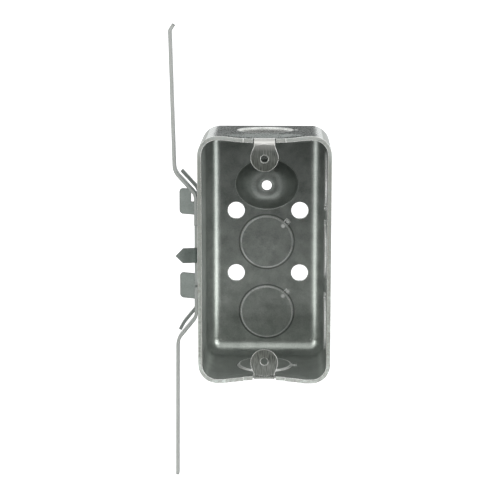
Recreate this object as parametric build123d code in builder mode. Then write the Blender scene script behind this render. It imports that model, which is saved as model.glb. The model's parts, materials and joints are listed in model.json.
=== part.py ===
"""Utility box: a drawn steel wiring box with device ears, and the stud bracket on its side.

Millimetres. X is across the mouth, Y runs from the mouth into the box, Z is up.
The origin is midway between the two device screws, in the plane of the mouth.
"""
import os
from math import cos, radians, sin

from build123d import *

# Drawn shell
box_width = 54.0
box_height = 101.6
box_depth = 47.6
box_sheet = 1.6
corner_radius = 7.7

# End walls, pressed in a little beside the ears
press_depth = 1.2
press_width = 33.0
press_length = 4.5
press_runout = 7.0

# Device ears, folded in from the end walls
ear_spacing = 83.3
ear_tip_radius = 5.6
ear_tip_setback = 0.5
ear_neck_width = 8.4
ear_hole_diameter = 2.7
ear_hole_chamfer = 0.3
ear_bend_radius = 2.6
ear_relief = 0.5
ear_relief_depth = 3.6
ear_step_width = 17.0
ear_step = 0.7

# Knockouts, sheared through part of the sheet and held by one tie
knockout_diameter = 22.2
knockout_lift = 0.7
knockout_pitch = 30.8
tie_length = 4.6
tie_width = 2.2

# Punched pattern of the back
pattern_shift = 0.5
back_hole_shift = 1.0
back_hole_spacing = 27.3
back_hole_diameter = 7.3
back_knockout_angle = 45.0

# Raised ground in the back
ground_height = 25.1
ground_half_width = 13.5
ground_half_height = 10.8
ground_crown_radius = 4.6
ground_rise = 4.6
ground_side_wall = 0.75
ground_hole_diameter = 4.3
ground_hole_chamfer = 0.4
ground_base_angle = 40.0
ground_crown_angle = 85.0
ground_bands = 5

# Bracket sheet and its plate
bracket_sheet = 1.3
projection_height = 0.6
projection_radius = 1.8
projection_spacing_y = 15.0
projection_spacing_z = 30.0
plate_half_height = 24.4
plate_front = 10.5
plate_rear = 38.6
recess_depth = 2.7
recess_half_height = 12.8

# Arms and flaps, which leave the plate on the same slope
arm_width = 5.0
slope_gap = 1.2
slope_rise = 9.5
upper_stand_off = 8.6
lower_stand_off = 7.7
slope_bend_radius = 5.0
knee_bend_radius = 6.5
upper_arm_end = 92.2
upper_arm_lean = 1.4
hook_reach = 1.5
hook_rise = 2.2
hook_bend_radius = 1.4
lower_arm_end = -93.4
lower_arm_lean = 0.5
flap_width = 3.0
flap_setback = 22.4
flap_drop = 0.7
flap_share = 0.82
lower_flap_tip = 3.3
lower_flap_lean = 1.8
finger_relief = 1.0
finger_relief_depth = 1.6

# Tabs at the rear edge and barb at the front edge
tab_height = 11.0
tab_reach = 8.6
tab_run = 4.0
tab_bend_radius = 1.8
tab_corner = 1.6
tab_slit_height = 5.5
tab_slit_reach = 2.8
barb_height = 6.1
barb_reach = 8.4
barb_lead = 1.6
barb_point = 3.0
barb_bend_radius = 1.3

# Places that follow from the sizes above
half_width = box_width / 2
half_height = box_height / 2
floor_depth = box_depth - box_sheet
middle_depth = box_depth / 2
press_radius = (press_width**2 / 4 + press_depth**2) / (2 * press_depth)
press_axis = half_height - press_depth + press_radius
ear_wall = half_height - press_depth - 0.1 * box_sheet
ear_height = ear_spacing / 2
knockout_radius = knockout_diameter / 2
plate_inner = -half_width - projection_height
plate_outer = plate_inner - bracket_sheet
plate_middle = plate_inner - bracket_sheet / 2
recess_front = plate_front + recess_depth
plate_flat_rear = plate_rear - 1.5 * tab_bend_radius
slope_start = plate_half_height + slope_gap
flap_start = slope_start - flap_drop
flap_front = plate_front + flap_setback
tab_slit_front = flap_front + flap_width + finger_relief
tab_slit_floor = recess_half_height + tab_height - tab_slit_height
relief_starts = (
    plate_front + arm_width,
    flap_front - finger_relief,
    flap_front + flap_width,
)


def depth_plane(depth):
    """Upright plane across the box, depth millimetres behind the mouth."""
    return Plane.XZ.offset(-depth)


def drawn_block(inset):
    """Block of the shell, whose four corners and whose edge at the back share one radius."""
    with BuildPart() as block:
        with BuildSketch(Plane.XZ):
            Rectangle(box_width - 2 * inset, box_height - 2 * inset)
        extrude(amount=inset - box_depth)
        rounded = block.edges().filter_by_position(Axis.Y, 0, box_depth, inclusive=(False, True))
        fillet(rounded, corner_radius - inset)
    return block.part


def end_wall_press(clearance):
    """Round tool that presses the top wall in and runs out towards the back."""
    tip = press_axis - press_radius - clearance
    runout_end = press_length + 2 * press_runout
    with BuildPart() as press:
        with BuildSketch(Plane.YZ):
            with BuildLine():
                Polyline(
                    (-box_sheet, press_axis),
                    (-box_sheet, tip),
                    (press_length, tip),
                    (runout_end, tip + 2 * press_depth),
                    (runout_end, press_axis),
                    close=True,
                )
            make_face()
        revolve(axis=Axis((0, 0, press_axis), (0, 1, 0)))
    return press.part


def ground_dome(crown_depth, inset):
    """Oval cap of the raised ground: the upper bands of a ball, stretched to its two widths."""
    base, crown = radians(ground_base_angle), radians(ground_crown_angle)
    with BuildPart() as dome:
        for band in range(ground_bands + 1):
            angle = base + (crown - base) * band / ground_bands
            spread = (cos(angle) - cos(crown)) / (cos(base) - cos(crown))
            rise = ground_rise * (sin(angle) - sin(base)) / (sin(crown) - sin(base))
            half_x = ground_crown_radius + (ground_half_width - ground_crown_radius) * spread
            half_z = ground_crown_radius + (ground_half_height - ground_crown_radius) * spread
            with BuildSketch(depth_plane(crown_depth + ground_rise - rise)):
                with Locations((pattern_shift, ground_height)):
                    Ellipse(half_x - inset, half_z - inset)
        loft(ruled=True)
    return dome.part


def knockout_outline():
    """Disc of a knockout with the tie that holds it, along the local X axis."""
    Circle(knockout_radius)
    with Locations((knockout_radius, 0)):
        Rectangle(tie_length, tie_width)


# Hollow of the box, with the pressed end walls bulging into it
with BuildPart() as cavity:
    add(drawn_block(box_sheet))
    add(end_wall_press(box_sheet), mode=Mode.SUBTRACT)
    add(mirror(end_wall_press(box_sheet), about=Plane.XY), mode=Mode.SUBTRACT)

# One ear: a round tongue that narrows to a neck, and the bend that joins it to the wall
with BuildPart() as ear:
    with BuildSketch(Plane.XZ):
        with Locations((0, ear_height + ear_tip_setback)):
            Circle(ear_tip_radius)
        with Locations((0, ear_wall - ear_bend_radius - box_sheet / 4)):
            Rectangle(ear_neck_width, box_sheet / 2)
        make_hull()
        with Locations((0, ear_height)):
            Circle(ear_hole_diameter / 2, mode=Mode.SUBTRACT)
    extrude(amount=-box_sheet)
    ear_front = ear.faces().sort_by(Axis.Y)[0]
    chamfer(ear_front.edges().filter_by(GeomType.CIRCLE).sort_by(SortBy.RADIUS)[0], ear_hole_chamfer)
    with BuildSketch(Plane.YZ):
        with BuildLine():
            FilletPolyline(
                (box_sheet / 2, ear_wall - ear_bend_radius - box_sheet / 4),
                (box_sheet / 2, ear_wall - box_sheet / 2),
                (ear_bend_radius + box_sheet, ear_wall - box_sheet / 2),
                radius=ear_bend_radius - box_sheet / 2,
            )
        trace(line_width=box_sheet)
    extrude(amount=ear_neck_width / 2, both=True)

# Planes of the knockouts on the inner faces, each with X towards its tie
back_tie = (cos(radians(back_knockout_angle)), 0, sin(radians(back_knockout_angle)))
knockout_planes = [
    Plane((pattern_shift, floor_depth, height), x_dir=back_tie, z_dir=(0, -1, 0))
    for height in (0, -knockout_pitch)
]
knockout_planes += [
    Plane((0, middle_depth, -side * (half_height - box_sheet)), x_dir=(1, 0, 0), z_dir=(0, 0, side))
    for side in (1, -1)
]
knockout_planes += [
    Plane((half_width - box_sheet, middle_depth, height), x_dir=(0, 0, tie), z_dir=(-1, 0, 0))
    for height, tie in ((-knockout_pitch, 1), (0, 1), (knockout_pitch, -1))
]

with BuildPart() as box:
    # Drawn shell
    add(drawn_block(0))
    add(cavity.part, mode=Mode.SUBTRACT)
    add(end_wall_press(0), mode=Mode.SUBTRACT)
    add(mirror(end_wall_press(0), about=Plane.XY), mode=Mode.SUBTRACT)

    # Trimmed rim, reliefs and room for the bends of the ears
    for width, depth in (
        (ear_step_width, ear_step),
        (ear_neck_width, ear_bend_radius),
    ):
        with BuildSketch(Plane.XZ):
            Rectangle(width, box_height + box_sheet)
            Rectangle(width, 2 * ear_height, mode=Mode.SUBTRACT)
        extrude(amount=-depth, mode=Mode.SUBTRACT)
    with BuildSketch(Plane.XZ):
        with GridLocations(ear_neck_width + ear_relief, 0, 2, 1):
            Rectangle(ear_relief, box_height + box_sheet)
            Rectangle(ear_relief, 2 * ear_height, mode=Mode.SUBTRACT)
    extrude(amount=-ear_relief_depth, mode=Mode.SUBTRACT)
    add(ear.part)
    add(mirror(ear.part, about=Plane.XY))

    # Knockouts: each disc stands into the box and leaves a shallow recess outside
    with BuildSketch(*knockout_planes):
        knockout_outline()
    extrude(amount=knockout_lift)
    with BuildSketch(*[plane.offset(-box_sheet) for plane in knockout_planes]):
        knockout_outline()
    extrude(amount=knockout_lift, mode=Mode.SUBTRACT)

    # Raised ground
    add(ground_dome(floor_depth - ground_rise, 0))
    add(ground_dome(box_depth - ground_rise, ground_side_wall), mode=Mode.SUBTRACT)

    # Holes of the back
    with BuildSketch(depth_plane(floor_depth)):
        with Locations((back_hole_shift, 0)):
            with GridLocations(back_hole_spacing, back_hole_spacing, 2, 2):
                Circle(back_hole_diameter / 2)
    extrude(amount=2 * box_sheet, both=True, mode=Mode.SUBTRACT)
    with BuildSketch(depth_plane(floor_depth - ground_rise)):
        with Locations((pattern_shift, ground_height)):
            Circle(ground_hole_diameter / 2)
    extrude(amount=2 * box_sheet, both=True, mode=Mode.SUBTRACT)
    ground_hole_edges = box.edges().filter_by(GeomType.CIRCLE).filter_by(
        lambda edge: abs(edge.radius - ground_hole_diameter / 2) < ground_hole_chamfer / 10
    )
    chamfer(ground_hole_edges.sort_by(Axis.Y)[0], ground_hole_chamfer)

box.part.label = "box"


def sloped_strip(front, width, points, radii):
    """Strip of bracket sheet along points in X and Z, from front to front plus width."""
    with BuildPart() as strip:
        with BuildSketch(depth_plane(front)):
            with BuildLine():
                FilletPolyline(*points, radius=radii)
            trace(line_width=bracket_sheet)
        extrude(amount=-width)
    return strip.part


root = plate_half_height - finger_relief_depth
upper_standing = plate_middle - upper_stand_off
lower_standing = plate_middle - lower_stand_off
upper_arm = sloped_strip(
    plate_front,
    arm_width,
    [
        (plate_middle, root),
        (plate_middle, slope_start),
        (upper_standing, slope_start + slope_rise),
        (upper_standing - upper_arm_lean, upper_arm_end),
        (upper_standing - upper_arm_lean + hook_reach, upper_arm_end + hook_rise),
    ],
    [slope_bend_radius, knee_bend_radius, hook_bend_radius],
)
lower_arm = sloped_strip(
    plate_front,
    arm_width,
    [
        (plate_middle, -root),
        (plate_middle, -slope_start),
        (lower_standing, -slope_start - slope_rise),
        (lower_standing - lower_arm_lean, lower_arm_end),
    ],
    [slope_bend_radius, knee_bend_radius],
)
upper_flap = sloped_strip(
    flap_front,
    flap_width,
    [
        (plate_middle, root),
        (plate_middle, flap_start),
        (plate_middle - flap_share * upper_stand_off, flap_start + flap_share * slope_rise),
    ],
    [slope_bend_radius],
)
lower_flap_bend = (
    plate_middle - flap_share * lower_stand_off,
    -flap_start - flap_share * slope_rise,
)
lower_flap = sloped_strip(
    flap_front,
    flap_width,
    [
        (plate_middle, -root),
        (plate_middle, -flap_start),
        lower_flap_bend,
        (lower_flap_bend[0] - lower_flap_lean, lower_flap_bend[1] - lower_flap_tip),
    ],
    [slope_bend_radius, slope_bend_radius],
)

# Barb: a pointed tongue of the front edge, turned out to bite into the stud
with BuildPart() as barb:
    with BuildSketch(Plane.XY):
        with BuildLine():
            FilletPolyline(
                (plate_middle, recess_front + 2 * barb_bend_radius),
                (plate_middle, recess_front),
                (plate_middle - barb_reach, recess_front - barb_lead),
                radius=barb_bend_radius,
            )
        trace(line_width=bracket_sheet)
    extrude(amount=barb_height / 2, both=True)
    with BuildSketch(Plane.XZ):
        with BuildLine():
            Polyline(
                (plate_inner, barb_height / 2),
                (plate_middle - barb_reach + barb_point, barb_height / 2),
                (plate_middle - barb_reach, 0),
                (plate_middle - barb_reach + barb_point, -barb_height / 2),
                (plate_inner, -barb_height / 2),
                close=True,
            )
        make_face()
    extrude(amount=-middle_depth, mode=Mode.INTERSECT)

# Tab: a round-cornered tongue of the rear edge, folded out behind the stud
with BuildPart() as tab:
    with BuildSketch(Plane.XY.offset(recess_half_height)):
        with BuildLine():
            FilletPolyline(
                (plate_middle, plate_rear - 2 * tab_bend_radius),
                (plate_middle, plate_rear),
                (plate_middle - tab_reach, plate_rear + tab_run),
                radius=tab_bend_radius,
            )
        trace(line_width=bracket_sheet)
    extrude(amount=tab_height)
    with BuildSketch(Plane.XZ):
        with Locations((plate_middle, recess_half_height + tab_height / 2)):
            RectangleRounded(2 * tab_reach, tab_height, tab_corner)
    extrude(amount=-box_depth, mode=Mode.INTERSECT)

with BuildPart() as bracket:
    # Plate, with its front edge set back between the arms
    with BuildSketch(Plane.YZ.offset(plate_outer)):
        with Locations(((plate_front + plate_flat_rear) / 2, 0)):
            Rectangle(plate_flat_rear - plate_front, 2 * plate_half_height)
        with Locations((plate_front, 0)):
            Rectangle(2 * recess_depth, 2 * recess_half_height, mode=Mode.SUBTRACT)
        with GridLocations(0, 2 * plate_half_height, 1, 2):
            for start in relief_starts:
                with Locations((start + finger_relief / 2, 0)):
                    Rectangle(finger_relief, 2 * finger_relief_depth, mode=Mode.SUBTRACT)
    extrude(amount=bracket_sheet)

    # Folded fingers
    add([upper_arm, lower_arm, upper_flap, lower_flap])
    add([barb.part, tab.part])
    add(mirror(tab.part, about=Plane.XY))

    # Slit that frees the top of the upper tab from the plate
    with BuildSketch(Plane.XZ.offset(-tab_slit_front)):
        with Locations((plate_outer - tab_slit_reach, tab_slit_floor)):
            Rectangle(
                tab_slit_reach + 2 * bracket_sheet,
                2 * tab_slit_height,
                align=(Align.MIN, Align.MIN),
            )
    extrude(amount=-box_depth, mode=Mode.SUBTRACT)

    # Weld projections: pressed from outside until they seat on the wall of the box
    with BuildSketch(Plane.YZ.offset(plate_inner)):
        with Locations((middle_depth, 0)):
            with GridLocations(projection_spacing_y, projection_spacing_z, 2, 2):
                Circle(projection_radius)
    extrude(amount=projection_height)
    with BuildSketch(Plane.YZ.offset(plate_outer)):
        with Locations((middle_depth, 0)):
            with GridLocations(projection_spacing_y, projection_spacing_z, 2, 2):
                Circle(projection_radius)
    extrude(amount=projection_height, mode=Mode.SUBTRACT)

bracket.part.label = "bracket"

os.makedirs("parts", exist_ok=True)
for piece in (box, bracket):
    export_step(piece.part, f"parts/{piece.part.label}.step")
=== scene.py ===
# %% [markdown]
# # Utility box
#
# A utility box is a small drawn steel box that holds a switch or a socket. It is one sheet of
# galvanised steel, pressed to depth, with an ear folded in at each end for the device screws.
# A folded bracket on its left side hooks it to a stud. The shapes come from the frame, at real
# size, in metres. Here each of them gets its finish, and the studio gets its light.

# %% Start from the frame
import json
from math import cos, pi, radians, sin

import bpy
import numpy as np
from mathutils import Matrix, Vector


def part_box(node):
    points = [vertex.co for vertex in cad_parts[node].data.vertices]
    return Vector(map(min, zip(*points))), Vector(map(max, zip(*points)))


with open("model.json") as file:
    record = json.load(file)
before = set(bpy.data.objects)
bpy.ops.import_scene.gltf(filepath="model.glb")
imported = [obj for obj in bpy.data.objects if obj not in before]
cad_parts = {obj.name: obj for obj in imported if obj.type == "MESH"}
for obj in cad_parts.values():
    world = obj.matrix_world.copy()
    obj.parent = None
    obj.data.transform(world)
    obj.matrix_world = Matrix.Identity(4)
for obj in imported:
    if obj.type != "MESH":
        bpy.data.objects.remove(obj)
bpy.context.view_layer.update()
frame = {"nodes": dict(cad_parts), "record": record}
MM = 0.001
print("nodes", sorted(frame["nodes"]))

# %% [markdown]
# ## Places read from the frame
#
# A mark that belongs to one place, such as the bright rim, needs to know where that place is.
# These places are measured on the nodes and read from the record's mounts. Only trade sizes
# and a few lengths of the ears are written here.

# %% Measure the box
KNOCKOUT_RADIUS = 11.1 * MM
KNOCKOUT_PITCH = 30.8 * MM
SHEET = 1.6 * MM
EAR_NECK_HALF = 4.2 * MM
EAR_HALF = 7.2 * MM

box_low, box_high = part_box("box")
bracket_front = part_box("bracket")[0].y
mounts = {mount["name"]: mount for mount in frame["record"]["mounts"]}
middle_depth = mounts["right_knockouts"]["pos_m"][1]
ground_place = mounts["ground_screw"]["pos_m"]
knockout_x, _, lower_middle = mounts["back_knockouts"]["pos_m"]
print("box from", tuple(box_low), "to", tuple(box_high), "ground at", ground_place)

# %% [markdown]
# ## Small helpers for materials
#
# A material is a graph of nodes, and it could be drawn by hand in Blender's editor. Written as
# functions it stays short and can be read: one helper adds a node and fills its sockets, the
# next ones do sums with masks, and the last ones mix colours, make grain and measure distance.

# %% Helpers for nodes and masks


def add_node(tree, kind, inputs=None, **settings):
    """Adds a node. A linked socket is given as a socket, and a plain value is set as it is."""
    node = tree.nodes.new(kind)
    for name, value in settings.items():
        setattr(node, name, value)
    for key, value in (inputs or {}).items():
        if isinstance(value, bpy.types.NodeSocket):
            tree.links.new(value, node.inputs[key])
        else:
            node.inputs[key].default_value = value
    return node


def maths(tree, operation, *values):
    """One sum of up to three values, each a socket or a number."""
    return add_node(tree, "ShaderNodeMath", dict(enumerate(values)), operation=operation).outputs[0]


def product(tree, first, *others):
    """Several masks multiplied: 1 only where all of them are 1."""
    for other in others:
        first = maths(tree, "MULTIPLY", first, other)
    return first


def largest(tree, first, *others):
    """The largest of several masks: 1 where any of them is 1."""
    for other in others:
        first = maths(tree, "MAXIMUM", first, other)
    return first


def unsigned(tree, value):
    """The value without its sign, which treats left and right, or top and bottom, alike."""
    return maths(tree, "ABSOLUTE", value)


def all_but(tree, mask):
    """1 minus the mask: everywhere else."""
    return maths(tree, "SUBTRACT", 1.0, mask)


def fade(tree, value, start, end, low=0.0, high=1.0):
    """low up to start, high from end on, and straight between them. It runs down if start > end."""
    node = add_node(
        tree,
        "ShaderNodeMapRange",
        {"Value": value, "From Min": start, "From Max": end, "To Min": low, "To Max": high},
    )
    return node.outputs["Result"]


def band(tree, value, middle, half_width):
    """1 within half of half_width from the middle, and 0 past half_width from it."""
    off = unsigned(tree, maths(tree, "SUBTRACT", value, middle))
    return fade(tree, off, half_width, 0.5 * half_width)


def under_face(tree, value, face, deep, shallow):
    """0 more than deep sheets under an outer face, and 1 less than shallow sheets under it."""
    return fade(tree, value, face - deep * SHEET, face - shallow * SHEET)


print("helpers for masks ready")

# %% Helpers for colours and patterns


def blend_colours(tree, share, first, second, blend_type="MIX"):
    """First colour where share is 0, second where it is 1, or their product with MULTIPLY."""
    node = add_node(
        tree, "ShaderNodeMix", {"Factor": share}, data_type="RGBA", blend_type=blend_type
    )
    for socket, value in ((node.inputs[6], first), (node.inputs[7], second)):
        if isinstance(value, bpy.types.NodeSocket):
            tree.links.new(value, socket)
        else:
            socket.default_value = (*value, 1.0)
    return node.outputs[2]


def painted(tree, marks, mark, colour, layer, blend_type="MIX"):
    """The colour with a layer over it where the mark is, or unchanged if there is no such mark."""
    if mark not in marks:
        return colour
    return blend_colours(tree, marks[mark], colour, layer, blend_type)


def grain(tree, position, size, stretch=(1.0, 1.0, 1.0), detail=3.0):
    """Noise with patches about size metres across, and stretch times longer along each axis."""
    scale = tuple(1.0 / (size * along) for along in stretch)
    mapped = add_node(tree, "ShaderNodeMapping", {"Vector": position, "Scale": scale})
    noise = add_node(
        tree,
        "ShaderNodeTexNoise",
        {"Vector": mapped.outputs[0], "Scale": 1.0, "Detail": detail, "Roughness": 0.6},
    )
    return noise.outputs[0]


def distance_to(tree, position, place, counted, widths=(1.0, 1.0, 1.0)):
    """Distance from place, counting only the axes marked 1 and measured in the given widths."""
    weights = tuple(axis / width for axis, width in zip(counted, widths))
    moved = add_node(
        tree, "ShaderNodeVectorMath", {0: position, 1: tuple(place)}, operation="SUBTRACT"
    )
    scaled = add_node(
        tree, "ShaderNodeVectorMath", {0: moved.outputs[0], 1: weights}, operation="MULTIPLY"
    )
    length = add_node(tree, "ShaderNodeVectorMath", {0: scaled.outputs[0]}, operation="LENGTH")
    return length.outputs["Value"]


print("helpers for patterns ready")

# %% [markdown]
# ## Marks of the knockouts
#
# A knockout is a disc that the punch has sheared through part of the sheet. The sheared edge is
# bare and bright, and is also painted lighter as a painted highlight. A line of painted shade runs
# just outside it, and two small spots of bare zinc with a painted highlight sit where the tie of a
# back knockout was pressed. The shape is in the frame already. The marks could be painted on an
# image, but rings by distance stay sharp however close the camera comes.

# %% Rings, grooves and spots
RING_HALF_WIDTH = 0.45 * MM
END_RING_HALF_WIDTH = 0.8 * MM
GROOVE_RADIUS = KNOCKOUT_RADIUS + 0.75 * MM
GROOVE_HALF_WIDTH = 0.4 * MM
TIE_SPOTS = (9.9 * MM, 12.9 * MM)
TIE_SPOT_RADIUS = 1.1 * MM
TIE_DIRECTION = (cos(radians(45)), 0, sin(radians(45)))
WALL_DEPTHS = (3, 2)


def knockouts(tree, x, y, z):
    """Each knockout's middle, the two axes of its plane, the mask of its wall, and ring width."""
    on_back = under_face(tree, y, box_high.y, *WALL_DEPTHS)
    on_right = under_face(tree, x, box_high.x, *WALL_DEPTHS)
    on_ends = under_face(tree, unsigned(tree, z), box_high.z, *WALL_DEPTHS)
    upper, lower = 2 * lower_middle + KNOCKOUT_PITCH, -KNOCKOUT_PITCH
    back = [
        ((knockout_x, 0, height), (1, 0, 1), on_back, RING_HALF_WIDTH) for height in (upper, lower)
    ]
    ends = [((0, middle_depth, 0), (1, 1, 0), on_ends, END_RING_HALF_WIDTH)]
    right = [
        ((0, middle_depth, step * KNOCKOUT_PITCH), (0, 1, 1), on_right, RING_HALF_WIDTH)
        for step in (-1, 0, 1)
    ]
    return back, ends, right


def knockout_marks(tree, position, x, y, z):
    """Masks of the sheared rings, of the grooves round them and of the spots at the back ties."""
    back, ends, right = knockouts(tree, x, y, z)
    rings, grooves, spots = [], [], []
    for middle, plane, wall, half_width in back + ends + right:
        away = distance_to(tree, position, middle, plane)
        rings.append(product(tree, band(tree, away, KNOCKOUT_RADIUS, half_width), wall))
        grooves.append(product(tree, band(tree, away, GROOVE_RADIUS, GROOVE_HALF_WIDTH), wall))
    for middle, plane, wall, _ in back:
        for reach in TIE_SPOTS:
            spot_middle = [c + reach * d for c, d in zip(middle, TIE_DIRECTION)]
            away = distance_to(tree, position, spot_middle, plane)
            spot = fade(tree, away, TIE_SPOT_RADIUS, 0.5 * TIE_SPOT_RADIUS)
            spots.append(product(tree, spot, wall))
    return largest(tree, *rings), largest(tree, *grooves), largest(tree, *spots)


print("marks of the knockouts ready")

# %% [markdown]
# ## Parts of the box
#
# Four regions of the box have a finish of their own: the trimmed rim, the two brushed ears, the
# outside of the walls, and the raised ground, whose folds are softer than one bevel can show.
# Each could be a material of its own, but the box is one sheet, so one material with a mask
# for each region keeps the zinc's grain running through all of them.

# %% Regions by place
FRONT_TURN = (-0.7, -0.9)
WALL_TURN = (0.5, 0.9)
RIM_DEPTH = 1.0 * MM
EDGE_BLUR = 0.2 * MM
OUTER_DEPTHS = (0.85, 0.70)
GROUND_HALF_SIZES = (14.0 * MM, 1.0, 11.3 * MM)


def mouth_region(tree, y, forward):
    """Faces that look forward within RIM_DEPTH of the mouth."""
    return product(
        tree, fade(tree, forward, *FRONT_TURN), fade(tree, y, 1.2 * RIM_DEPTH, RIM_DEPTH)
    )


def ear_region(tree, out, up):
    """The ear's neck all the way up, and its round end once two sheets under the end wall."""
    ear_start = box_high.z - 2.0 * SHEET
    at_round = product(
        tree,
        fade(tree, out, EAR_HALF + EDGE_BLUR, EAR_HALF - EDGE_BLUR),
        fade(tree, up, ear_start, ear_start - 0.2 * SHEET),
    )
    return largest(tree, fade(tree, out, EAR_NECK_HALF + EDGE_BLUR, EAR_NECK_HALF), at_round)


def outer_region(tree, out, y, up):
    """Everything within a share of the sheet from an outer face of a wall."""
    return largest(
        tree,
        under_face(tree, out, box_high.x, *OUTER_DEPTHS),
        under_face(tree, up, box_high.z, *OUTER_DEPTHS),
        under_face(tree, y, box_high.y, *OUTER_DEPTHS),
    )


def ground_region(tree, position, y):
    """Inside the oval foot of the raised ground, on the back of the box."""
    away = distance_to(tree, position, ground_place, (1, 0, 1), widths=GROUND_HALF_SIZES)
    at_back = fade(tree, y, middle_depth, 1.2 * middle_depth)
    return product(tree, fade(tree, away, 1.0, 0.98), at_back)


print("regions ready")

# %% [markdown]
# ## Marks of the box
#
# Each mark is a mask, from 0 where it is absent to 1 where it is full. The walls are chalky,
# where the drawing has rubbed the zinc dull. The zinc is painted darker high up and lighter low
# down, as painted shade and painted light. The rims of the side walls are painted darker than
# those of the end walls, as painted shade, and the outer discs of the end knockouts carry a
# painted highlight. Masks worked out from place and normal follow the box if its size changes,
# which marks painted by hand would not.

# %% Masks of the box
SPECKLE_SIZE = 1.3 * MM
SPECKLE_RANGE, SPECKLE_LOW = (0.38, 0.62), 0.1
SMEAR_SIZE = 7 * MM
SMEAR_RANGE, SMEAR_LOW = (0.36, 0.56), 0.35
RING_GRAIN = (0.2, 0.5)
SPOT_GRAIN = (0.1, 0.5)
BRUSHED_DEPTHS = (3, 2)
# The upper ear's bend between these depths under the top gets a painted highlight.
FOLD_HIGHLIGHT_DEPTHS = (6.0 * MM, 3.2 * MM)
# Painted shade above and painted light below fade between these heights.
LIGHT_GRADIENT_START = 32 * MM
LIGHT_GRADIENT_END = 10 * MM
# The rims nearer the middle than these heights, on the side walls, get painted shade.
SHADED_RIM_HEIGHTS = (44 * MM, 40 * MM)
# Strength of the painted shade just outside each ring.
GROOVE_SHADE_STRENGTH = 0.7
GROUND_CHALK = 0.7
WALL_CHALK = 0.5
OUTSIDE_CHALK = 0.15
WALL_ROUGHER = 0.15
SIDE_ROUGHER = 0.12
END_ROUGHER = -0.08


def sheared_marks(tree, position, x, y, z, fine):
    """Masks of the rings and spots as one, of their bright zinc with painted highlight, and of the
    painted shade in the grooves.
    """
    rings, grooves, spots = knockout_marks(tree, position, x, y, z)
    smear = grain(tree, position, SMEAR_SIZE, detail=1.0)
    smear = fade(tree, smear, *SMEAR_RANGE, low=SMEAR_LOW)
    # Bare sheared zinc on the rings and tie spots, with a painted highlight.
    bright_rings = product(tree, rings, smear, fade(tree, fine, *RING_GRAIN))
    bright_spots = product(tree, spots, fade(tree, fine, *SPOT_GRAIN))
    return (
        largest(tree, rings, spots),
        largest(tree, bright_rings, bright_spots),
        # Painted shade in the grooves just outside the rings.
        product(tree, grooves, all_but(tree, rings), GROOVE_SHADE_STRENGTH),
    )


def box_marks(tree, position, normal, fine):
    """Masks of the box. fine is the zinc's fine grain, which breaks up the bright rings."""
    x, y, z = add_node(tree, "ShaderNodeSeparateXYZ", {0: position}).outputs
    sideways, forward, upward = add_node(tree, "ShaderNodeSeparateXYZ", {0: normal}).outputs
    out, up = unsigned(tree, x), unsigned(tree, z)
    facing_end = unsigned(tree, upward)
    facing_wall = largest(tree, unsigned(tree, sideways), facing_end)
    at_mouth = mouth_region(tree, y, forward)
    at_ear = ear_region(tree, out, up)
    at_rim = product(tree, at_mouth, all_but(tree, at_ear))
    outside = outer_region(tree, out, y, up)
    ground = ground_region(tree, position, y)
    sheared, bright, grooves = sheared_marks(tree, position, x, y, z, fine)
    chalky = product(
        tree,
        fade(tree, facing_wall, *WALL_TURN),
        maths(tree, "MULTIPLY_ADD", outside, OUTSIDE_CHALK - 1.0, 1.0),
    )
    matte = largest(tree, chalky, maths(tree, "MULTIPLY", ground, GROUND_CHALK))
    end_or_side = fade(tree, facing_end, *WALL_TURN, low=SIDE_ROUGHER, high=END_ROUGHER)
    from_end_disc = distance_to(tree, position, (0, middle_depth, 0), (1, 1, 0))
    speckle = grain(tree, position, SPECKLE_SIZE)
    brushed_depths = (depth * SHEET for depth in BRUSHED_DEPTHS)
    return {
        "cut": product(tree, at_rim, fade(tree, speckle, *SPECKLE_RANGE, low=SPECKLE_LOW)),
        "brushed": product(tree, at_ear, fade(tree, y, *brushed_depths)),
        # Painted highlight at the upper ear's bend.
        "fold_highlight": fade(tree, z, box_high.z - FOLD_HIGHLIGHT_DEPTHS[0], box_high.z - FOLD_HIGHLIGHT_DEPTHS[1]),
        "outside": outside,
        # Painted shade high up and painted light low down, away from the chalky walls.
        "low": product(
            tree,
            fade(tree, z, box_high.z - LIGHT_GRADIENT_START, box_low.z + LIGHT_GRADIENT_END),
            all_but(tree, chalky),
        ),
        # Painted shade on the rims of the side walls.
        "dull": product(tree, at_mouth, fade(tree, up, *SHADED_RIM_HEIGHTS)),
        # Painted highlight on the outer discs of the end knockouts.
        "disc_highlight": product(
            tree, outside, fade(tree, from_end_disc, KNOCKOUT_RADIUS, 0.9 * KNOCKOUT_RADIUS)
        ),
        # Painted shade just outside the knockout rings.
        "groove_shade": grooves,
        # Bare zinc and painted highlights on the rings and tie spots.
        "bright": bright,
        "chalk": largest(tree, sheared, maths(tree, "MULTIPLY", matte, WALL_CHALK)),
        "rougher": maths(
            tree, "MULTIPLY_ADD", chalky, WALL_ROUGHER, product(tree, outside, end_or_side)
        ),
        "rough": largest(tree, at_rim, sheared),
        "soft": ground,
    }


print("masks of the box ready")

# %% [markdown]
# ## Marks of the bracket
#
# The bracket's folds all run back from the mouth, so each of its cut edges that the camera sees
# faces forward. The two arms stand at the front, and there the cut steel is the brightest; further
# back the cut edges are painted darker, as painted shade.
# The edge faces could be picked by hand and given a slot of their own, but the normal and the
# depth find them all, and still do when the bracket changes.

# %% Masks of the bracket
CUT_TURN = (-0.985, -0.995)
ARM_DEPTHS = (8 * MM, 5 * MM)
# Cut edges further back are painted darker, as painted shade.
CUT_IN_SHADE = 0.12
CUT_IN_FRONT = 0.5


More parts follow.
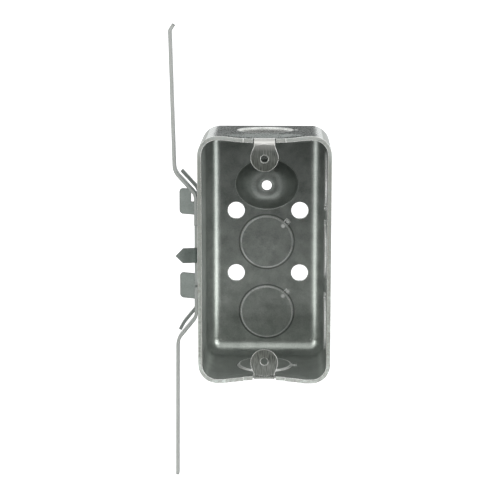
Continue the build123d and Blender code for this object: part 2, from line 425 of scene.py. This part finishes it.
def bracket_marks(tree, position, normal, _):
    """Masks of the cut edges of the sheet. The bracket has no other mark."""
    y = add_node(tree, "ShaderNodeSeparateXYZ", {0: position}).outputs[1]
    forward = add_node(tree, "ShaderNodeSeparateXYZ", {0: normal}).outputs[1]
    far, near = (bracket_front + depth for depth in ARM_DEPTHS)
    # Painted shade: the cut edges grow dimmer with depth behind the arms.
    unshaded_share = fade(tree, y, far, near, low=CUT_IN_SHADE, high=CUT_IN_FRONT)
    cut = product(tree, fade(tree, forward, *CUT_TURN), unshaded_share)
    return {"cut": cut, "rough": cut}


print("masks of the bracket ready")

# %% [markdown]
# ## Zinc
#
# Hot zinc freezes on the sheet as a dull grey coat. It has faint patches a few millimetres
# wide and a fine grain, and the press has drawn marks along the walls. Three noises of these
# sizes are added, and their sum chooses between a dark and a light zinc. The zinc is painted
# darker high up and lighter low down, as painted shade and light, and the outside is lighter.

# %% Colour of the zinc
PATCH_SIZE = 5 * MM
FINE_SIZE = 0.45 * MM
DRAWN_WIDTH = 0.5 * MM
DRAWN_LENGTH = 14.0
PATCH_SHARE, FINE_SHARE, DRAWN_SHARE = 0.45, 0.35, 0.2
ZINC_RANGE = (0.36, 0.64)
BOX_ZINC = ((0.25, 0.273, 0.255), (0.40, 0.427, 0.403))
BRACKET_ZINC = ((0.128, 0.148, 0.136), (0.205, 0.232, 0.215))
# Painted shade on the upper box and painted light on its low part.
PAINTED_SHADE_HIGH = (0.76, 0.76, 0.76)
PAINTED_LIGHT_LOW = (1.34, 1.34, 1.32)
OUTSIDE_TINT = (1.30, 1.32, 1.35)
# Colour of the painted highlight on the outer end discs.
DISC_HIGHLIGHT = (0.50, 0.51, 0.49)


def zinc_pattern(tree, position, fine):
    """Patches, fine grain and drawing marks added up, and the drawing marks by themselves."""
    patches = grain(tree, position, PATCH_SIZE)
    drawn = grain(tree, position, DRAWN_WIDTH, stretch=(1.0, DRAWN_LENGTH, 1.0))
    pattern = maths(tree, "MULTIPLY", patches, PATCH_SHARE)
    pattern = maths(tree, "MULTIPLY_ADD", fine, FINE_SHARE, pattern)
    return maths(tree, "MULTIPLY_ADD", drawn, DRAWN_SHARE, pattern), drawn


def zinc_colour(tree, marks, pattern, zinc):
    """Dark to light zinc by the pattern, with painted shade high up and painted light low down,
    lighter on the outside, and a painted highlight on the outer end discs.
    """
    colour = blend_colours(tree, fade(tree, pattern, *ZINC_RANGE), *zinc)
    # Painted shade high up and painted light low down.
    if "low" in marks:
        painted_light_gradient = blend_colours(tree, marks["low"], PAINTED_SHADE_HIGH, PAINTED_LIGHT_LOW)
        colour = blend_colours(tree, 1.0, colour, painted_light_gradient, "MULTIPLY")
    colour = painted(tree, marks, "outside", colour, OUTSIDE_TINT, "MULTIPLY")
    # Painted highlight on the outer end discs.
    return painted(tree, marks, "disc_highlight", colour, DISC_HIGHLIGHT)


print("zinc from", BOX_ZINC[0], "to", BOX_ZINC[1])

# %% [markdown]
# ## Ears and edges
#
# The ears are brushed up and down, so their noise is stretched twelve times along the height.
# The upper ear's bend is painted pale, as a painted highlight.
# The Bevel node gives the normal as it would be on a rounded edge. Where that differs from the
# true normal there is an edge. There the box's zinc is rubbed and painted bright as a painted edge
# highlight, and the bracket is painted dark as painted edge shade. A real bevel would need many
# more faces for the same thin line.

# %% Colour of the ears and the edges
SCRATCH_WIDTH = 0.32 * MM
SCRATCH_LENGTH = 12.0
SCRATCH_RANGE = (0.36, 0.62)
BRUSHED_DARK = (0.10, 0.11, 0.10)
BRUSHED_LIGHT = (0.31, 0.325, 0.30)
# Colour of the painted highlight at the upper ear's bend.
FOLD_HIGHLIGHT = (0.48, 0.48, 0.46)
EDGE_FACING = (0.99, 0.86)
EDGE_GRAIN, EDGE_LOW = (0.3, 0.5), 0.4
# Colour of the painted shade in the grooves.
GROOVE_SHADE = (0.10, 0.11, 0.10)
# Rubbed zinc with a painted highlight, on the rings and on the box's edges.
RUBBED_ZINC_HIGHLIGHT = (0.90, 0.91, 0.89)
# Painted shade laid over the side rims.
SIDE_RIM_SHADE = (0.72, 0.72, 0.70)


def ear_colour(tree, marks, scratches, colour):
    """Scratches from dark to light, over the colour where the ears are, with a painted highlight at
    the upper bend.
    """
    brushed = blend_colours(
        tree, fade(tree, scratches, *SCRATCH_RANGE), BRUSHED_DARK, BRUSHED_LIGHT
    )
    # Painted highlight at the upper bend.
    brushed = painted(tree, marks, "fold_highlight", brushed, FOLD_HIGHLIGHT)
    return painted(tree, marks, "brushed", colour, brushed)


def edge_mask(tree, normal, fine, radius):
    """1 where the normal rounded over radius leaves the true one, broken up by the fine grain."""
    rounded = add_node(tree, "ShaderNodeBevel", {"Radius": radius}, samples=6).outputs[0]
    facing = add_node(
        tree, "ShaderNodeVectorMath", {0: rounded, 1: normal}, operation="DOT_PRODUCT"
    ).outputs["Value"]
    broken = fade(tree, fine, *EDGE_GRAIN, low=EDGE_LOW)
    return product(tree, fade(tree, facing, *EDGE_FACING), broken)


def edge_colour(tree, marks, edge_wear_and_light, colour, finish):
    """The colour with its cut steel, painted shade in the grooves, bright rings with painted
    highlights, rubbed edges with a painted highlight on the box and painted shade on the bracket,
    and painted shade on the side rims, in turn.
    """
    colour = painted(tree, marks, "cut", colour, finish["cut"])
    # Painted shade in the grooves.
    colour = painted(tree, marks, "groove_shade", colour, GROOVE_SHADE)
    # Bare zinc and painted highlights on the rings and tie spots.
    colour = painted(tree, marks, "bright", colour, RUBBED_ZINC_HIGHLIGHT)
    # Edges with wear, painted bright on the box as highlight and dark on the bracket as shade.
    colour = blend_colours(tree, edge_wear_and_light, colour, finish["edge"])
    # Painted shade on the side rims.
    return painted(tree, marks, "dull", colour, SIDE_RIM_SHADE, "MULTIPLY")


print("ears from", BRUSHED_DARK, "to", BRUSHED_LIGHT)

# %% [markdown]
# ## Galvanised steel
#
# The finish brings these colours together. Chalky zinc reflects less and scatters more, so it
# is less metallic, and sheared steel is rough. The grain and the scratches also stand up from
# the surface by a few hundredths of a millimetre, as bump. A second Bevel node, wide on the
# raised ground, softens its folds as the die's round edge does.

# %% Galvanised steel
SMOOTH, MATT = 0.28, 0.40
MATT_RANGE = (0.3, 0.8)
SHEARED_ROUGHNESS = 0.55
GROUND_FOLD = 2.0 * MM
RELIEF = 0.02 * MM
RELIEF_STRENGTH = 0.7
FINE_RELIEF, SCRATCH_RELIEF = 0.5, 0.8


def set_roughness(tree, shader, marks, pattern):
    """SMOOTH to MATT by the zinc's pattern, more or less where marked, and rough where sheared."""
    roughness = fade(tree, pattern, *MATT_RANGE, low=SMOOTH, high=MATT)
    if "rougher" in marks:
        roughness = maths(tree, "ADD", roughness, marks["rougher"])
    roughness = add_node(
        tree,
        "ShaderNodeMix",
        {0: marks["rough"], 2: roughness, 3: SHEARED_ROUGHNESS},
        data_type="FLOAT",
    ).outputs[0]
    tree.links.new(roughness, shader.inputs["Roughness"])


def set_relief(tree, shader, marks, relief, radius):
    """Bump of the relief, on normals rounded over radius, or GROUND_FOLD on the raised ground."""
    if "soft" in marks:
        radius = fade(tree, marks["soft"], 0.0, 1.0, low=radius, high=GROUND_FOLD)
    folded = add_node(tree, "ShaderNodeBevel", {"Radius": radius}, samples=8).outputs[0]
    bump = add_node(
        tree,
        "ShaderNodeBump",
        {"Strength": RELIEF_STRENGTH, "Distance": RELIEF, "Height": relief, "Normal": folded},
    )
    tree.links.new(bump.outputs[0], shader.inputs["Normal"])


def galvanised_steel(name, marks_of, finish):
    """Dull zinc-coated metal. marks_of gives its masks, and finish its colours and its shine."""
    material = bpy.data.materials.new(name)
    material.use_nodes = True
    tree = material.node_tree
    shader = tree.nodes["Principled BSDF"]
    position = add_node(tree, "ShaderNodeTexCoord").outputs["Object"]
    normal = add_node(tree, "ShaderNodeNewGeometry").outputs["Normal"]
    fine = grain(tree, position, FINE_SIZE, detail=4.0)
    marks = marks_of(tree, position, normal, fine)
    pattern, drawn = zinc_pattern(tree, position, fine)
    relief = maths(tree, "MULTIPLY_ADD", fine, FINE_RELIEF, drawn)
    colour = zinc_colour(tree, marks, pattern, finish["zinc"])
    if "brushed" in marks:
        along = (1.0, 1.0, SCRATCH_LENGTH)
        scratches = grain(tree, position, SCRATCH_WIDTH, stretch=along, detail=4.0)
        scratched = product(tree, marks["brushed"], scratches)
        colour = ear_colour(tree, marks, scratches, colour)
        relief = maths(tree, "MULTIPLY_ADD", scratched, SCRATCH_RELIEF, relief)
    # Edge mask for wear with painted edge highlight on the box and painted edge shade on the
    # bracket.
    edge_wear_and_light = edge_mask(tree, normal, fine, finish["edge_radius"])
    colour = edge_colour(tree, marks, edge_wear_and_light, colour, finish)
    tree.links.new(colour, shader.inputs["Base Color"])
    shine = finish["shine"]
    shader.inputs["Metallic"].default_value = shine
    if "chalk" in marks:
        metal = maths(tree, "MULTIPLY_ADD", marks["chalk"], -shine, shine)
        tree.links.new(metal, shader.inputs["Metallic"])
    set_roughness(tree, shader, marks, pattern)
    set_relief(tree, shader, marks, relief, finish["edge_radius"])
    return material


print("galvanised steel ready")

# %% [markdown]
# ## Two finishes
#
# The box and its bracket are galvanised alike, but the bracket's coat is greyer, with less shine
# and with painted shade along its edges. So the same function makes both, from two lists of values.

# %% Finish the box and the bracket
FINISHES = {
    "box": {
        "zinc": BOX_ZINC,
        "shine": 0.88,
        # Rubbed zinc with a painted highlight on the box's edges.
        "edge": RUBBED_ZINC_HIGHLIGHT,
        "cut": (0.33, 0.335, 0.315),
        "edge_radius": 0.35 * MM,
    },
    "bracket": {
        "zinc": BRACKET_ZINC,
        "shine": 0.3,
        # Painted shade on the bracket's edges.
        "edge": (0.07, 0.08, 0.075),
        "cut": (0.62, 0.63, 0.61),
        "edge_radius": 0.45 * MM,
    },
}

for node, marks_of in (("box", box_marks), ("bracket", bracket_marks)):
    mesh = frame["nodes"][node].data
    mesh.materials.clear()
    mesh.materials.append(galvanised_steel(f"{node}_zinc", marks_of, FINISHES[node]))
    print(node, "is finished in", mesh.materials[0].name)

# %% [markdown]
# ## Floor and backdrop
#
# The box hangs from its bracket, so the floor lies well below it. Floor and backdrop are one
# sweep: flat, then curved up behind, so that no line shows where they meet. To the camera and
# to the metal's reflections it is white, as paper lit by its own lamps is. Light Path tells
# those rays from the ones that light the box, so the white background adds no light to it.

# %% White background
PAPER_COLOUR = (0.85, 0.85, 0.85, 1)
PAPER_GLOW = 0.8
WHITE = (1, 1, 1, 1)


def seen_rays(tree):
    """1 for rays from the camera, off metal and through glass, and 0 for the others."""
    path = add_node(tree, "ShaderNodeLightPath")
    seen = maths(tree, "ADD", path.outputs["Is Camera Ray"], path.outputs["Is Glossy Ray"])
    return maths(tree, "ADD", seen, path.outputs["Is Transmission Ray"])


def matte_material(name, colour, roughness, specular):
    """A plain matte material, with every value set on the shader itself."""
    material = bpy.data.materials.new(name)
    material.use_nodes = True
    shader = material.node_tree.nodes["Principled BSDF"]
    shader.inputs["Base Color"].default_value = colour
    shader.inputs["Roughness"].default_value = roughness
    shader.inputs["Specular IOR Level"].default_value = specular
    return material


def white_paper():
    """Matte paper that also glows for the rays that see it, so it reads as white."""
    paper = matte_material("white_paper", PAPER_COLOUR, roughness=0.9, specular=0.2)
    tree = paper.node_tree
    shader = tree.nodes["Principled BSDF"]
    shader.inputs["Emission Color"].default_value = WHITE
    glow = maths(tree, "MULTIPLY", seen_rays(tree), PAPER_GLOW)
    tree.links.new(glow, shader.inputs["Emission Strength"])
    return paper


print("paper glows at", PAPER_GLOW)

# %% Sweep
FLOOR_HEIGHT = -0.36
SWEEP_WIDTH = 6.0
SWEEP_FRONT = -3.0
SWEEP_BACK = 2.4
SWEEP_RADIUS = 0.8
SWEEP_TOP = 2.6


def grid_mesh(name, points):
    """Mesh of a grid of points, an array of rows by columns by 3, with a face in each cell."""
    rows, columns = points.shape[:2]
    index = np.arange(rows * columns).reshape(rows, columns)
    faces = np.stack(
        [index[:-1, :-1], index[:-1, 1:], index[1:, 1:], index[1:, :-1]], axis=-1
    ).reshape(-1, 4)
    mesh = bpy.data.meshes.new(name)
    mesh.from_pydata(points.reshape(-1, 3).tolist(), [], faces.tolist())
    mesh.update()
    made = bpy.data.objects.new(name, mesh)
    bpy.context.scene.collection.objects.link(made)
    return made


def sweep_points(steps=24):
    """Profile in Y and Z: a line, a quarter circle of SWEEP_RADIUS, a line up; carried along X."""
    turn = np.linspace(0, pi / 2, steps)
    depth = SWEEP_BACK - SWEEP_RADIUS + SWEEP_RADIUS * np.sin(turn)
    height = FLOOR_HEIGHT + SWEEP_RADIUS * (1 - np.cos(turn))
    profile = np.column_stack(
        [
            np.concatenate([[SWEEP_FRONT], depth, [SWEEP_BACK]]),
            np.concatenate([[FLOOR_HEIGHT], height, [SWEEP_TOP]]),
        ]
    )
    across = np.array([-SWEEP_WIDTH / 2, SWEEP_WIDTH / 2])
    grid = np.zeros((len(profile), len(across), 3))
    grid[..., 0] = across
    grid[..., 1:] = profile[:, None, :]
    return grid


sweep = grid_mesh("paper_sweep", sweep_points())
sweep.data.materials.append(white_paper())
print("sweep", len(sweep.data.polygons), "faces")

# %% [markdown]
# ## Light
#
# Metal shows what stands round it. Small lamps would give it hard white spots, so its light is
# made of large plain shapes. Two tall soft boxes at the front left and right draw the bright
# lines down the drawn corners. A soft box above lights the ears and the top wall. The world
# gives matte things a plain level of light, and is white to the camera and in reflections.

# %% World
WORLD_LEVEL = 0.55
SEEN_LEVEL = 1.0

world = bpy.data.worlds.new("studio")
bpy.context.scene.world = world
world.use_nodes = True
background = world.node_tree.nodes["Background"]
background.inputs["Color"].default_value = WHITE
world_strength = add_node(
    world.node_tree,
    "ShaderNodeMix",
    {0: seen_rays(world.node_tree), 2: WORLD_LEVEL, 3: SEEN_LEVEL},
    data_type="FLOAT",
).outputs[0]
world.node_tree.links.new(world_strength, background.inputs["Strength"])
print("world level", WORLD_LEVEL)

# %% Soft boxes
TARGET = Vector((0, 0.02, 0))
SOFT_BOX_DISTANCE = 1.2
SOFT_BOXES = (
    ("left_soft_box", (-0.80, -1.0, 0.15), (0.5, 1.1), 2.5),
    ("right_soft_box", (0.80, -1.0, 0.15), (0.6, 1.1), 3.4),
    ("top_soft_box", (0, -0.35, 1.0), (1.2, 0.8), 1.1),
)


def soft_box(name, direction, size, radiance):
    """Area lamp that faces TARGET. Its power is radiance times pi times its area."""
    lamp = bpy.data.lights.new(name, "AREA")
    lamp.shape = "RECTANGLE"
    lamp.size, lamp.size_y = size
    lamp.energy = radiance * pi * size[0] * size[1]
    placed = bpy.data.objects.new(name, lamp)
    bpy.context.scene.collection.objects.link(placed)
    placed.location = TARGET + Vector(direction).normalized() * SOFT_BOX_DISTANCE
    placed.rotation_mode = "QUATERNION"
    placed.rotation_quaternion = (TARGET - placed.location).to_track_quat("-Z", "Y")
    print(name, round(lamp.energy, 2), "W")


for name, direction, size, radiance in SOFT_BOXES:
    soft_box(name, direction, size, radiance)

# %% [markdown]
# ## Dark cards
#
# A photographer of metal also sets out dark cards, because the metal is only as dark as what it
# mirrors. One stands where the camera is and keeps the back of the box deep grey. A small one
# behind draws the dark streak along the top wall, and one on the floor in front darkens the
# neck of the lower ear. The camera looks through them. They could be painted into the zinc,
# but then the metal would keep them from every side.

# %% Dark cards
CARDS = (
    ("lens_card", 0.30, (-0.95, FLOOR_HEIGHT), (-0.95, 0.30)),
    ("rear_card", 0.11, (1.20, 0.12), (1.20, 0.70)),
    ("floor_card", 0.12, (-0.36, FLOOR_HEIGHT + 0.01), (-0.06, FLOOR_HEIGHT + 0.01)),
)


def dark_card(name, half_width, start, end, cloth):
    """Flat card between two lines along X, each at (Y, Z). Only the camera looks through it."""
    grid = np.zeros((2, 2, 3))
    grid[..., 0] = (-half_width, half_width)
    grid[..., 1:] = np.array([start, end])[:, None, :]
    card = grid_mesh(name, grid)
    card.data.materials.append(cloth)
    card.visible_camera = False
    print(name, "from", start, "to", end)


FELT_COLOUR = (0.03, 0.03, 0.03, 1)
felt = matte_material("black_felt", FELT_COLOUR, roughness=1.0, specular=0.0)
for name, half_width, start, end in CARDS:
    dark_card(name, half_width, start, end, felt)

# %% [markdown]
# ## Camera
#
# The photo is taken with a long lens from a little above, nearly straight into the mouth. The
# distance is known from how much smaller the back looks than the mouth. So the camera is
# placed by numbers, which keeps the box the same size in the frame as it is in the photo.

# %% Camera
LENS = 118.4
SENSOR_WIDTH = 36.0
CAMERA_PLACE = Vector((8.0, -652.8, 124.2)) * MM
LOOK_DOWN = radians(10.37)
LOOK_LEFT = radians(1.21)

camera = bpy.data.objects.new("camera", bpy.data.cameras.new("camera"))
bpy.context.scene.collection.objects.link(camera)
camera.data.sensor_width = SENSOR_WIDTH
camera.data.lens = LENS
camera.data.clip_start = 10 * MM
camera.location = CAMERA_PLACE
ahead = Vector(
    (-sin(LOOK_LEFT) * cos(LOOK_DOWN), cos(LOOK_LEFT) * cos(LOOK_DOWN), -sin(LOOK_DOWN))
)
camera.rotation_mode = "QUATERNION"
camera.rotation_quaternion = ahead.to_track_quat("-Z", "Y")
bpy.context.scene.camera = camera
bpy.context.scene.view_settings.view_transform = "Standard"
print("camera at", tuple(camera.location))
